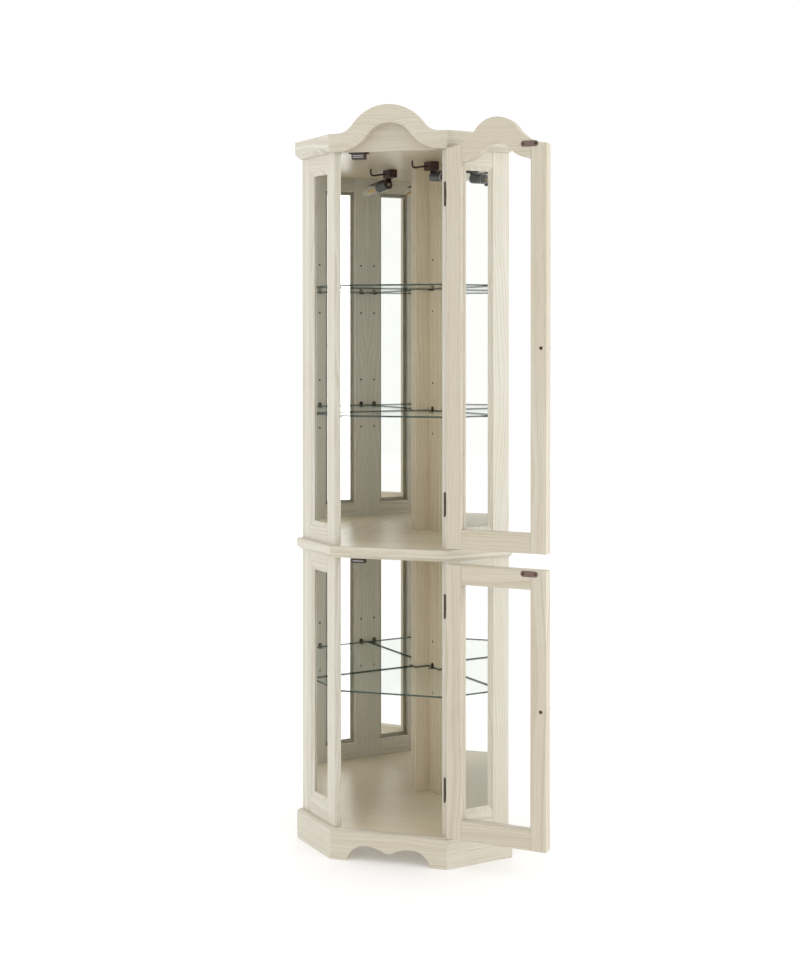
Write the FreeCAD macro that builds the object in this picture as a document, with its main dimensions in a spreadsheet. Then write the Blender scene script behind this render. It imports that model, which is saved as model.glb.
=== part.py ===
"""Corner curio cabinet: a glazed, mirrored display case that stands in the corner of a room.

Frame: millimetres, +Z up. The origin is the foot of the room's corner, where the two walls meet the
floor, and the cabinet faces -Y. Walls run from the origin along (-1, -1) and (1, -1).
"""
import FreeCAD, Part
import math
import os

import Sketcher

doc = FreeCAD.newDocument("CurioCabinet")

# Driving sizes
SIZES = {
    "wall_run": (360.0, "length of the carcass along each wall"),
    "side_depth": (171.5, "reach of each glazed side out from its wall"),
    "plinth_top": (70.0, "height of the plinth and of the lower floor"),
    "mid_top": (727.0, "height of the middle floor"),
    "ceiling": (1640.0, "height of the ceiling's underside"),
    "panel_thick": (18.0, "floor, middle and top panels"),
    "back_thick": (4.0, "back board"),
    "mirror_thick": (3.0, "mirror glass"),
    "pane_thick": (4.0, "glass of the doors and sides"),
    "frame_thick": (17.0, "side frames"),
    "side_stile": (38.0, "width of a side frame's stile"),
    "side_top_rail": (36.0, "height seen below the ceiling"),
    "side_mid_below": (61.0, "side's middle rail below the middle floor"),
    "side_mid_above": (36.0, "side's middle rail above the middle floor"),
    "side_bottom_rail": (44.0, "height of the side's bottom rail"),
    "post_thick": (12.0, "back post boards"),
    "post_wide_left": (48.0, "width of the back post's left board"),
    "post_wide_right": (54.0, "width of the back post's right board"),
    "plinth_out": (15.0, "plinth face beyond the carcass"),
    "plinth_thick": (18.0, "plinth boards"),
    "plinth_face": (66.5, "height where the plinth's top edge begins to slope"),
    "plinth_slope": (6.0, "depth of the slope on the plinth's top edge"),
    "foot_leg": (70.0, "rear foot block along each wall"),
    "scallop_half": (100.0, "half width of the cut-out below the plinth"),
    "scallop_rise": (37.0, "height of the cut-out's two arches"),
    "drop_z": (24.0, "height of the pendant's blunt tip"),
    "drop_half": (7.0, "half width of the pendant's blunt tip"),
    "lobe_x": (55.0, "arch centre from the middle of the plinth"),
    "waist_out": (15.0, "waist moulding beyond the carcass"),
    "waist_drop": (28.0, "height of the waist moulding"),
    "waist_bevel": (9.0, "height of the slope below the waist moulding"),
    "waist_cut": (12.0, "depth of the slope below the waist moulding"),
    "waist_round": (3.0, "rounding above the waist moulding"),
    "apron_drop": (12.0, "rail below the middle panel, down to the lower door's top"),
    "crown_out": (19.5, "crown beyond the carcass"),
    "crown_band": (40.0, "width of the crown board"),
    "crown_bevel": (10.0, "height of the slope below the crown"),
    "crown_cut": (14.0, "depth of the slope below the crown"),
    "crest_rise": (64.0, "rise of the arched crown above its ends"),
    "crest_inset": (9.9, "arch's foot in from the carcass corner"),
    "foot_share": (0.318, "share of the curve that bends upwards"),
    "fascia_thick": (15.0, "board behind the arched crown"),
    "frame_tongue": (18.0, "side frame behind the crown"),
    "door_thick": (27.0, "doors"),
    "door_proud": (16.0, "door face in front of the carcass"),
    "door_gap": (1.3, "door edge to side frame"),
    "door_stile": (37.0, "door stiles"),
    "door_rail": (43.5, "straight door rails"),
    "door_rise": (6.5, "lower edge of each door above its floor"),
    "arch_gap": (2.5, "arched door top to crown"),
    "arch_high": (5.0, "arched rail's lower edge above the ceiling, in the middle"),
    "arch_rise": (39.5, "rise of the arched rail's lower edge"),
    "arch_reach": (2.0, "arched rail's curve past its stiles"),
    "arch_share": (0.62, "share of the arched rail's curve that bends upwards"),
    "top_cover": (15.0, "fascia's upper edge below the crown's"),
    "door_open": (170.0, "opening angle of the doors as they stand"),
    "stop_gap": (2.0, "closed door to the board behind it"),
    "pin_in": (1.0, "hinge pin inside the carcass corner"),
    "pin_out": (7.5, "hinge pin in front of the carcass"),
    "pin_radius": (1.2, "hinge pin"),
    "knuckle_radius": (2.2, "hinge knuckle"),
    "knuckle_play": (0.05, "hinge pin to the door's knuckle"),
    "leaf_thick": (1.5, "hinge leaf"),
    "hinge_tall": (50.8, "hinge height"),
    "hinge_foot_upper": (97.0, "middle of the upper door's low hinge above the door's foot"),
    "hinge_head_upper": (103.6, "middle of the upper door's high hinge below the ceiling"),
    "hinge_foot_lower": (102.4, "middle of the lower door's low hinge above the door's foot"),
    "hinge_head_lower": (98.5, "middle of the lower door's high hinge below the door's top"),
    "leaf_wide": (6.0, "hinge leaf on the side frame"),
    "door_leaf_wide": (11.0, "hinge leaf on the door's edge"),
    "door_leaf_front": (3.0, "hinge leaf on the door's edge, in front of the pin"),
    "edge_break": (0.7, "eased edges of the wood"),
    "shelf_thick": (4.0, "glass shelves"),
    "shelf_gap": (2.0, "shelf to the frame around it"),
    "shelf_setback": (20.0, "shelf's front edge behind the carcass front"),
    "shelf_low": (312.0, "underside of the lower shelf above the lower floor"),
    "shelf_mid": (298.5, "underside of the middle shelf above the middle floor"),
    "shelf_high": (603.0, "underside of the upper shelf above the middle floor"),
    "support_disc": (5.5, "round plate of a shelf support"),
    "support_thick": (1.5, "plate of a shelf support"),
    "support_rise": (7.0, "middle of the support's round plate above the shelf's underside"),
    "support_out": (10.0, "shelf support beyond the wood"),
    "support_wide": (7.0, "arm of a shelf support"),
    "arm_thick": (2.0, "arm of a shelf support"),
    "support_in": (20.0, "shelf support from the edge of its stile"),
    "support_in_post": (22.0, "shelf support from the corner of the back post"),
    "knob_inset": (13.5, "knob from the door's free edge"),
    "knob_radius": (8.0, "widest part of the knob"),
    "knob_rise_upper": (453.5, "upper knob above its door's foot"),
    "knob_rise_lower": (309.5, "lower knob above its door's foot"),
    "knob_reach": (20.0, "knob beyond the door"),
    "plate_inset": (39.5, "middle of the catch plate from the door's free edge"),
    "plate_drop_high": (3.0, "upper plate's middle below the ceiling"),
    "plate_drop_low": (8.5, "lower plate's middle below the door's top"),
    "plate_half": (15.0, "half length of the catch plate between its round ends"),
    "plate_radius": (6.5, "catch plate's round ends"),
    "plate_thick": (1.2, "catch plate"),
    "catch_wide": (31.0, "magnetic catch"),
    "catch_deep": (18.0, "magnetic catch"),
    "catch_tall_upper": (16.0, "magnetic catch of the upper door"),
    "catch_tall_lower": (11.0, "magnetic catch of the lower door"),
    "flange_wide": (45.0, "magnetic catch's screwed flange"),
    "flange_thick": (3.0, "magnetic catch's screwed flange"),
    "lamp_p": (64.5, "lamp axis from the right wall"),
    "lamp_q": (121.0, "rear end of the lamp socket from the left wall"),
    "lamp_drop": (36.0, "lamp axis below the ceiling, at its rear end"),
    "lamp_fall": (6.0, "slope of the lamp, in degrees"),
    "socket_radius": (12.0, "lamp socket"),
    "socket_long": (50.0, "lamp socket"),
    "ear_thick": (3.0, "arm that holds the socket's rear end"),
    "ear_wide": (16.0, "arm that holds the socket's rear end"),
    "bulb_radius": (9.5, "lamp bulb"),
    "bulb_long": (80.0, "lamp bulb"),
    "strip_long": (118.0, "thin strip above the bulb"),
    "strip_wide": (15.0, "thin strip above the bulb"),
    "strip_thick": (2.0, "thin strip above the bulb"),
    "block_long": (36.0, "lamp's mounting block along its axis"),
    "block_wide": (22.0, "lamp's mounting block"),
    "block_tall": (20.0, "lamp's mounting block"),
    "block_back": (27.0, "block's rear end behind the socket"),
    "lead_radius": (2.3, "lamp lead"),
    "lead_away": (44.0, "lead's hole in the ceiling from the block"),
    "lead_drop": (9.0, "lead's straight stretch below the ceiling"),
    "lead_bend": (8.0, "bend of the lead"),
}

sheet = doc.addObject("Spreadsheet::Sheet", "Sizes")
for row, (alias, (number, note)) in enumerate(SIZES.items(), start=1):
    sheet.set(f"A{row}", note)
    sheet.set(f"B{row}", str(number))
    sheet.setAlias(f"B{row}", alias)
doc.recompute()


class Size:
    """A length with its number and the formula that the document keeps for it."""

    def __init__(self, text, number):
        self.text = text
        self.number = number

    def joined(self, sign, other, number):
        return Size(f"({self.text} {sign} {of(other).text})", number)

    def __add__(self, other):
        return self.joined("+", other, self.number + of(other).number)

    def __sub__(self, other):
        return self.joined("-", other, self.number - of(other).number)

    def __mul__(self, other):
        return self.joined("*", other, self.number * of(other).number)

    def __truediv__(self, other):
        return self.joined("/", other, self.number / of(other).number)

    def __radd__(self, other):
        return of(other) + self

    def __rsub__(self, other):
        return of(other) - self

    def __rmul__(self, other):
        return of(other) * self

    def __neg__(self):
        return 0 - self


def of(value):
    """A plain number as a Size."""
    if isinstance(value, Size):
        return value
    return Size(f"({value})" if value < 0 else f"{value}", float(value))


def cell(alias):
    return Size(f"Sizes.{alias}", SIZES[alias][0])


def root(value):
    return Size(f"sqrt({value.text})", math.sqrt(value.number))


def cosine(angle):
    return Size(f"cos({angle.text})", math.cos(math.radians(angle.number)))


def sine(angle):
    return Size(f"sin({angle.text})", math.sin(math.radians(angle.number)))


def bind(thing, name, value):
    """Set a property or a constraint to a Size, and keep it bound to its formula."""
    thing.setExpression(name, of(value).text)


class Frame:
    """A place in plan, and the turn about Z, in degrees, that a piece's own axes have there."""

    def __init__(self, x, y, turn):
        self.x = of(x)
        self.y = of(y)
        self.turn = of(turn)

    def hold(self, thing, x, y, z):
        c = cosine(self.turn)
        s = sine(self.turn)
        place = FreeCAD.Placement()
        place.Rotation = FreeCAD.Rotation(FreeCAD.Vector(0, 0, 1), self.turn.number)
        thing.Placement = place
        bind(thing, "Placement.Base.x", self.x + of(x) * c - of(y) * s)
        bind(thing, "Placement.Base.y", self.y + of(x) * s + of(y) * c)
        bind(thing, "Placement.Base.z", z)
        bind(thing, "Placement.Rotation.Angle", self.turn)


# Lines of the plan
ROOT2 = math.sqrt(2)
MITRE = ROOT2 - 1
run = cell("wall_run")
reach = cell("side_depth")
depth = (run + reach) / ROOT2
half = (run - reach) / ROOT2
frame_back = cell("back_thick") + cell("mirror_thick")
inner = run - cell("frame_thick")
door_half = half - cell("frame_thick") / ROOT2 - cell("door_gap")
door_back = cell("door_thick") - cell("door_proud")
stop_face = door_back + cell("stop_gap")
pin_x = half - cell("pin_in")

WALLS = Frame(0, 0, -135)
FRONT = Frame(0, -depth, 0)
DOOR = Frame(pin_x, -depth - cell("pin_out"), cell("door_open") - 180)

# Heights
floor_low = cell("plinth_top") - cell("panel_thick")
mid_low = cell("mid_top") - cell("panel_thick")
frame_top = cell("ceiling") + cell("frame_tongue")
crown_top = cell("ceiling") + cell("crown_band")


def new_body(label, frame, x=0, y=0, z=0):
    body = doc.addObject("PartDesign::Body", label)
    body.Label = label
    frame.hold(body, x, y, z)
    return body


def origin_plane(body, role):
    return next(item for item in body.Origin.OriginFeatures if item.Role == role)


def outline(body, role, corners):
    """A closed sketch on one of the body's own planes. Each corner is (x, y), or (x, y, radius, side)
    where the edge that leaves it is an arc: side 1 bulges to the left of its way, -1 to the right."""
    sketch = body.newObject("Sketcher::SketchObject", "Sketch")
    sketch.AttachmentSupport = [(origin_plane(body, role), "")]
    sketch.MapMode = "FlatFace"
    normal = FreeCAD.Vector(0, 0, 1)
    points = [FreeCAD.Vector(of(c[0]).number, of(c[1]).number, 0) for c in corners]
    starts = []
    ends = []
    for index, corner in enumerate(corners):
        here = points[index]
        there = points[(index + 1) % len(points)]
        if len(corner) == 2:
            edge = sketch.addGeometry(Part.LineSegment(here, there), False)
            starts.append((edge, 1))
            ends.append((edge, 2))
            continue
        radius = of(corner[2]).number
        chord = there - here
        left = normal.cross(chord).normalize()
        sagitta = radius - math.sqrt(max(radius ** 2 - chord.Length ** 2 / 4, 0))
        crown = (here + there) / 2 + left * (sagitta * corner[3])
        edge = sketch.addGeometry(Part.Arc(here, crown, there), False)
        forward = corner[3] < 0
        starts.append((edge, 1 if forward else 2))
        ends.append((edge, 2 if forward else 1))
    for index, corner in enumerate(corners):
        following = (index + 1) % len(corners)
        sketch.addConstraint(Sketcher.Constraint("Coincident", *ends[index], *starts[following]))
    for index, corner in enumerate(corners):
        for kind, value in (("DistanceX", corner[0]), ("DistanceY", corner[1])):
            number = of(value).number
            key = sketch.addConstraint(Sketcher.Constraint(kind, -1, 1, *starts[index], number))
            bind(sketch, f"Constraints[{key}]", value)
        if len(corner) == 4:
            number = of(corner[2]).number
            key = sketch.addConstraint(Sketcher.Constraint("Radius", starts[index][0], number))
            bind(sketch, f"Constraints[{key}]", corner[2])
    return sketch


def rectangle(wide, long):
    return [(0, 0), (wide, 0), (wide, long), (0, long)]


def pad(body, role, corners, length, reverse=False):
    feature = body.newObject("PartDesign::Pad", "Pad")
    feature.Profile = outline(body, role, corners)
    bind(feature, "Length", length)
    feature.Reversed = reverse
    doc.recompute()
    return feature


def cut_through(body, role, corners):
    """Cut the outline out of the whole body, both ways."""
    before = body.Shape.Volume
    feature = body.newObject("PartDesign::Pocket", "Pocket")
    feature.Profile = outline(body, role, corners)
    feature.Type = "ThroughAll"
    feature.Midplane = True
    doc.recompute()
    if body.Shape.Volume >= before:
        raise RuntimeError(f"{body.Label}: a cut removed nothing")
    return feature


def edges_of(feature, wanted):
    """Names of the edges whose two ends and middle all satisfy the test."""
    names = []
    for number, edge in enumerate(feature.Shape.Edges, start=1):
        middle = edge.valueAt((edge.FirstParameter + edge.LastParameter) / 2)
        ends = [vertex.Point for vertex in edge.Vertexes]
        if all(wanted(point) for point in ends + [middle]):
            names.append(f"Edge{number}")
    return names


def eased(body, feature, names=None, size=None):
    """A small chamfer on the named edges, or on every edge."""
    chamfer = body.newObject("PartDesign::Chamfer", "Eased")
    every = [f"Edge{n}" for n in range(1, len(feature.Shape.Edges) + 1)]
    chamfer.Base = (feature, names or every)
    bind(chamfer, "Size", size or cell("edge_break"))
    doc.recompute()
    return chamfer


def sloped(body, feature, names, high, deep, swap=False):
    """A slope of two unequal depths along the named edges."""
    chamfer = body.newObject("PartDesign::Chamfer", "Slope")
    chamfer.Base = (feature, names)
    chamfer.ChamferType = "Two distances"
    bind(chamfer, "Size", high)
    bind(chamfer, "Size2", deep)
    chamfer.FlipDirection = swap
    doc.recompute()
    return chamfer


def rounded(body, feature, names, radius):
    fillet = body.newObject("PartDesign::Fillet", "Round")
    fillet.Base = (feature, names)
    bind(fillet, "Radius", radius)
    doc.recompute()
    return fillet


def near(value, target):
    return abs(value - of(target).number) < 1e-4


def board(label, frame, start, size, soft=True):
    """A straight board: its lowest corner and its size, along the frame's own axes."""
    body = new_body(label, frame, *start)
    feature = pad(body, "XY_Plane", rectangle(size[0], size[1]), size[2])
    if soft:
        eased(body, feature)
    return body


def box(frame, start, size):
    """A plain block: its lowest corner and its size, along the frame's own axes."""
    piece = doc.addObject("Part::Box", "Block")
    for name, value in zip(("Length", "Width", "Height"), size):
        bind(piece, name, value)
    frame.hold(piece, *start)
    return piece


def lean(piece, frame, own, way):
    """Turn a piece so that its own direction points the given way, in the frame's axes."""
    piece.setExpression("Placement.Rotation.Angle", None)
    turn = FreeCAD.Rotation(FreeCAD.Vector(0, 0, 1), frame.turn.number)
    leaning = FreeCAD.Rotation(FreeCAD.Vector(*own), FreeCAD.Vector(*way))
    piece.Placement = FreeCAD.Placement(piece.Placement.Base, turn.multiply(leaning))


def rod(frame, start, radius, length, way=None):
    """A round bar that starts at a point and runs up, or the given way."""
    piece = doc.addObject("Part::Cylinder", "Rod")
    bind(piece, "Radius", radius)
    bind(piece, "Height", length)
    frame.hold(piece, *start)
    if way:
        lean(piece, frame, (0, 0, 1), way)
    return piece


def fused(label, pieces):
    fusion = doc.addObject("Part::MultiFuse", label)
    fusion.Shapes = pieces
    doc.recompute()
    return fusion


def bored(label, solid, bore):
    cut = doc.addObject("Part::Cut", label)
    cut.Base = solid
    cut.Tool = bore
    doc.recompute()
    return cut


def group(label, pieces):
    """Separate like pieces that share one name."""
    compound = doc.addObject("Part::Compound", label)
    compound.Label = label
    compound.Links = pieces
    doc.recompute()
    return compound


def both_sides(name, start, size, soft=True):
    """The same board on the left wall's side and, mirrored, on the right wall's side."""
    p, q, z = start
    dp, dq, dz = size
    board(f"left_{name}", WALLS, (p, q, z), (dp, dq, dz), soft)
    board(f"right_{name}", WALLS, (q, p, z), (dq, dp, dz), soft)


# Panels: floor, middle and top
def panel(label, corners, low):
    body = new_body(label, WALLS, 0, 0, low)
    pad(body, "XY_Plane", corners, cell("panel_thick"))
    return body


def front_line(setback, p):
    """Where a line that lies behind the carcass front meets the plane at p."""
    return (depth - setback) * ROOT2 - p


plinth_inner = run - (cell("plinth_thick") - cell("plinth_out"))
floor_setback = cell("plinth_thick") - cell("plinth_out")
floor_front = front_line(floor_setback, plinth_inner)
panel("floor_panel", [
    (0, 0),
    (plinth_inner, 0),
    (plinth_inner, floor_front),
    (floor_front, plinth_inner),
    (0, plinth_inner),
], floor_low)

post_in = frame_back + cell("post_thick")
post_left = frame_back + cell("post_wide_left")
post_right = post_in + cell("post_wide_right")
around_post = [
    (frame_back, post_right),
    (post_in, post_right),
    (post_in, post_in),
    (post_left, post_in),
    (post_left, frame_back),
]
panel("mid_panel", around_post + [
    (inner, frame_back),
    (inner, reach),
    (run, reach),
    (reach, run),
    (reach, inner),
    (frame_back, inner),
], mid_low)

fascia_back = stop_face + cell("fascia_thick")
top_front = front_line(fascia_back, inner)
top_panel = panel("top_panel", [
    (frame_back, frame_back),
    (inner, frame_back),
    (inner, top_front),
    (top_front, inner),
    (frame_back, inner),
], cell("ceiling"))


# Glazed sides
stile = cell("side_stile")
thick = cell("frame_thick")
base = cell("plinth_top")
rail_from = frame_back + stile
rail_long = reach - stile - rail_from
both_sides("front_stile", (inner, reach - stile, base), (thick, stile, frame_top - base))
both_sides("back_stile", (inner, 0, base), (thick, rail_from, frame_top - base))
top_rail_low = cell("ceiling") - cell("side_top_rail")
both_sides("top_rail", (inner, rail_from, top_rail_low), (thick, rail_long, frame_top - top_rail_low))
side_mid_low = cell("mid_top") - cell("side_mid_below")
side_mid_high = cell("mid_top") + cell("side_mid_above")
mid_rail_high = side_mid_high - side_mid_low
both_sides("mid_rail", (inner, rail_from, side_mid_low), (thick, rail_long, mid_rail_high))
both_sides("bottom_rail", (inner, rail_from, base), (thick, rail_long, cell("side_bottom_rail")))

pane = cell("pane_thick")
pane_p = inner + (thick - pane) / 2
lower_glass = base + cell("side_bottom_rail")
upper_glass = side_mid_high
side_panes = []
for low, high in ((lower_glass, side_mid_low), (upper_glass, top_rail_low)):
    side_panes.append(box(WALLS, (pane_p, rail_from, low), (pane, rail_long, high - low)))
    side_panes.append(box(WALLS, (rail_from, pane_p, low), (rail_long, pane, high - low)))
group("side_panes", side_panes)


# Back: post, mirrors and boards
tall = cell("ceiling") - base
post = cell("post_thick")
board("post_left_board", WALLS, (frame_back, frame_back, base), (cell("post_wide_left"), post, tall))
board("post_right_board", WALLS, (frame_back, post_in, base), (post, cell("post_wide_right"), tall))
mirror = cell("mirror_thick")
backing = cell("back_thick")
high = frame_top - base
board("left_mirror", WALLS, (backing, backing, base), (inner - backing, mirror, high), False)
board("right_mirror", WALLS, (backing, frame_back, base), (mirror, inner - frame_back, high), False)
board("left_back_board", WALLS, (0, 0, base), (inner, backing, high), False)
board("right_back_board", WALLS, (0, backing, base), (backing, inner - backing, high), False)
rear_foot = new_body("rear_foot", WALLS)
pad(rear_foot, "XY_Plane", [(0, 0), (cell("foot_leg"), 0), (0, cell("foot_leg"))], floor_low)


# Plinth, waist and crown: mouldings that are mitred at the front corners
def side_moulding(side, name, out, back, low, high):
    """A moulding along a glazed side: out beyond the carcass and back inside it."""
    corners = [
        (run + out, 0),
        (run + out, reach + out * MITRE),
        (run - back, reach - back * MITRE),
        (run - back, 0),
    ]
    if side == "right":
        corners = [(q, p) for p, q in reversed(corners)]
    body = new_body(f"{name}_{side}", WALLS, 0, 0, low)
    feature = pad(body, "XY_Plane", corners, high)
    face = (run + out).number
    if side == "left":
        return body, feature, lambda point: near(point.x, face)
    return body, feature, lambda point: near(point.y, face)


def front_moulding(name, out, back, low, high):
    """The moulding between the two mitres, across the front."""
    body = new_body(f"{name}_front", FRONT, 0, 0, low)
    feature = pad(body, "XY_Plane", [
        (-(half + out * MITRE), -out),
        (half + out * MITRE, -out),
        (half - back * MITRE, back),
        (-(half - back * MITRE), back),
    ], high)
    return body, feature, lambda point: near(point.y, -out)


waist_low = cell("mid_top") - cell("waist_drop")
for side in ("front", "left", "right"):
    sizes = (cell("waist_out"), 0, waist_low, cell("waist_drop"))
    made = front_moulding("waist", *sizes) if side == "front" else side_moulding(side, "waist", *sizes)
    body, feature, on_face = made
    top = edges_of(feature, lambda point: on_face(point) and near(point.z, cell("waist_drop")))
    feature = rounded(body, feature, top, cell("waist_round"))
    low = edges_of(feature, lambda point: on_face(point) and near(point.z, 0))
    sloped(body, feature, low, cell("waist_bevel"), cell("waist_cut"))

base_slope = base - cell("plinth_face")
plinth_back = cell("plinth_thick") - cell("plinth_out")
for side in ("left", "right"):
    body, feature, on_face = side_moulding(side, "plinth", cell("plinth_out"), plinth_back, 0, base)
    top = edges_of(feature, lambda point: on_face(point) and near(point.z, base))
    sloped(body, feature, top, base_slope, cell("plinth_slope"))

# The front plinth board has two arches below it, with a blunt pendant between them
scallop = cell("scallop_half")
lobe = cell("lobe_x")
rise = cell("scallop_rise")
lobe_side = scallop - lobe
outer_arc = (lobe_side * lobe_side + rise * rise) / (2 * rise)
drop_side = lobe - cell("drop_half")
drop_fall = rise - cell("drop_z")
inner_arc = (drop_side * drop_side + drop_fall * drop_fall) / (2 * drop_fall)
body, feature, on_face = front_moulding("plinth", cell("plinth_out"), plinth_back, 0, base)
top = edges_of(feature, lambda point: on_face(point) and near(point.z, base))
sloped(body, feature, top, base_slope, cell("plinth_slope"))
cut_through(body, "XZ_Plane", [
    (-scallop, -5),
    (scallop, -5),
    (scallop, 0, outer_arc, -1),
    (lobe, rise, inner_arc, -1),
    (cell("drop_half"), cell("drop_z")),
    (-cell("drop_half"), cell("drop_z"), inner_arc, -1),
    (-lobe, rise, outer_arc, -1),
    (-scallop, 0),
])

# Crown sides
crown_high = cell("crown_band")
for side in ("left", "right"):
    body, feature, on_face = side_moulding(side, "crown", cell("crown_out"), 0, cell("ceiling"), crown_high)
    low = edges_of(feature, lambda point: on_face(point) and near(point.z, 0))
    sloped(body, feature, low, cell("crown_bevel"), cell("crown_cut"))

# The crown's curve: a crest that bends down and two feet that bend up, drawn at any depth below its top
arch_x = half - cell("crest_inset")
arch_sum = (arch_x * arch_x + cell("crest_rise") * cell("crest_rise")) / (2 * cell("crest_rise"))
arch_foot = arch_sum * cell("foot_share")
arch_crest = arch_sum - arch_foot
crest_z = crown_top + cell("crest_rise") - arch_crest
foot_z = crown_top + arch_foot


class Ogee:
    """One line of the curve, depth below the crown's upper edge, with heights from a given level."""

    def __init__(self, below, level):
        self.crest = arch_crest - below
        self.foot = arch_foot + below
        share = self.crest / arch_sum
        self.turn_x = arch_x * share
        self.turn_z = crest_z + (foot_z - crest_z) * share - level
        self.level = level

    def height(self, x):
        """Height of the foot at x, between the turn and the arch's end."""
        away = arch_x - x
        return foot_z - root(self.foot * self.foot - away * away) - self.level

    def upper(self, x):
        """Corners of an upper edge, from x to -x."""
        return [
            (x, self.height(x), self.foot, 1),
            (self.turn_x, self.turn_z, self.crest, -1),
            (-self.turn_x, self.turn_z, self.foot, 1),
            (-x, self.height(x)),
        ]

    def lower(self, x):
        """Corners of a lower edge, from -x to x."""
        return [
            (-x, self.height(x), self.foot, -1),
            (-self.turn_x, self.turn_z, self.crest, 1),
            (self.turn_x, self.turn_z, self.foot, -1),
            (x, self.height(x)),
        ]


# Crown front: the arched board, with a narrower board behind it that closes the gap to the fascia
ceiling = cell("ceiling")
crown_end = half + cell("crown_out") * MITRE
top_line = Ogee(0, ceiling)
low_line = Ogee(crown_high, ceiling)
crown_front = new_body("crown_front", FRONT, 0, 0, ceiling)
feature = pad(crown_front, "XZ_Plane", [
    (-crown_end, 0),
    *low_line.lower(arch_x),
    (crown_end, 0),
    (crown_end, crown_high),
    *top_line.upper(arch_x),
    (-crown_end, crown_high),
], cell("crown_out"))
feature = cut_through(crown_front, "XY_Plane", [
    (half, 0),
    (crown_end, -cell("crown_out")),
    (crown_end, 0),
])
feature = cut_through(crown_front, "XY_Plane", [
    (-half, 0),
    (-crown_end, 0),
    (-crown_end, -cell("crown_out")),
])
low_edges = []
for number, edge in enumerate(feature.Shape.Edges, start=1):
    on_front = all(near(vertex.Y, -cell("crown_out")) for vertex in edge.Vertexes)
    radius = getattr(edge.Curve, "Radius", None)
    level = radius is None and all(near(vertex.Z, 0) for vertex in edge.Vertexes)
    if on_front and (level or (radius and (near(radius, low_line.foot) or near(radius, low_line.crest)))):
        low_edges.append(f"Edge{number}")
sloped(crown_front, feature, low_edges, cell("crown_bevel"), cell("crown_cut"))
packing = door_half - cell("door_gap")
cover_line = Ogee(cell("top_cover"), ceiling)
pad(crown_front, "XZ_Plane", low_line.lower(packing) + cover_line.upper(packing), stop_face, True)

# Fascia and apron: the boards that the doors close against
fascia_half = half - cell("frame_thick") * ROOT2 + stop_face
fascia = new_body("fascia_board", FRONT, 0, fascia_back, ceiling)
feature = pad(fascia, "XZ_Plane", [
    (-fascia_half, 0),
    (fascia_half, 0),
    *cover_line.upper(fascia_half),
], cell("fascia_thick"))
board("apron_rail", FRONT, (-fascia_half, stop_face, mid_low - cell("apron_drop")),
      (2 * fascia_half, cell("fascia_thick"), cell("apron_drop")))


# Doors
door_face = cell("door_proud") - cell("pin_out")
door_inner = -(door_back + cell("pin_out"))
door_edge = pin_x - door_half
door_light = door_half - cell("door_stile")
stile_wide = cell("door_stile")
pane_back = (door_face + door_inner - pane) / 2


def door_pane_body(label, low):
    return new_body(label, DOOR, pin_x, pane_back + pane, low)


def rails_and_stiles(name, low, high):
    """The straight boards of a door: two stiles up to a height and the rail between them at the foot."""
    for end, x in (("hinge", door_edge), ("latch", door_edge + 2 * door_half - stile_wide)):
        if high:
            size = (stile_wide, cell("door_thick"), high - low)
            board(f"{name}_{end}_stile", DOOR, (x, door_inner, low), size)
    board(f"{name}_bottom_rail", DOOR, (pin_x - door_light, door_inner, low),
          (2 * door_light, cell("door_thick"), cell("door_rail")))


lower_low = base + cell("door_rise")
lower_high = mid_low - cell("apron_drop")
rails_and_stiles("lower_door", lower_low, lower_high)
board("lower_door_top_rail", DOOR, (pin_x - door_light, door_inner, lower_high - cell("door_rail")),
      (2 * door_light, cell("door_thick"), cell("door_rail")))
lower_light = lower_low + cell("door_rail")
board("lower_door_pane", DOOR, (pin_x - door_light, pane_back, lower_light),
      (2 * door_light, pane, lower_high - cell("door_rail") - lower_light), False)

upper_low = cell("mid_top") + cell("door_rise")
rails_and_stiles("upper_door", upper_low, None)
door_line = Ogee(crown_high + cell("arch_gap"), upper_low)
for end, near_x, far_x in (("hinge", -door_half, -door_light), ("latch", door_light, door_half)):
    stile_body = new_body(f"upper_door_{end}_stile", DOOR, pin_x, door_face, upper_low)
    high_near = door_line.height(door_half if end == "hinge" else door_light)
    high_far = door_line.height(door_light if end == "hinge" else door_half)
    feature = pad(stile_body, "XZ_Plane", [
        (near_x, 0),
        (far_x, 0),
        (far_x, high_far, door_line.foot, 1),
        (near_x, high_near),
    ], cell("door_thick"))
    eased(stile_body, feature)

# The arched rail's lower edge has its own, flatter curve, which the pane's top follows
light_x = door_light + cell("arch_reach")
light_sum = (light_x * light_x + cell("arch_rise") * cell("arch_rise")) / (2 * cell("arch_rise"))
light_foot = light_sum * cell("arch_share")
light_crest = light_sum - light_foot
light_top = ceiling + cell("arch_high")
light_turn_x = light_x * (1 - cell("arch_share"))
light_turn_z = light_top - cell("arch_rise") * (1 - cell("arch_share"))
light_end_z = (light_top - cell("arch_rise") + light_foot
               - root(light_foot * light_foot - cell("arch_reach") * cell("arch_reach")))
rail_body = new_body("upper_door_top_rail", DOOR, pin_x, door_face, upper_low)
feature = pad(rail_body, "XZ_Plane", [
    (-door_light, light_end_z - upper_low, light_foot, -1),
    (-light_turn_x, light_turn_z - upper_low, light_crest, 1),
    (light_turn_x, light_turn_z - upper_low, light_foot, -1),
    (door_light, light_end_z - upper_low),
    *door_line.upper(door_light),
], cell("door_thick"))
eased(rail_body, feature)
upper_light = upper_low + cell("door_rail")
pane_body = door_pane_body("upper_door_pane", upper_light)
pad(pane_body, "XZ_Plane", [
    (-door_light, 0),
    (door_light, 0),
    (door_light, light_end_z - upper_light, light_foot, 1),
    (light_turn_x, light_turn_z - upper_light, light_crest, -1),
    (-light_turn_x, light_turn_z - upper_light, light_foot, 1),
    (-door_light, light_end_z - upper_light),
], pane)

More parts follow.
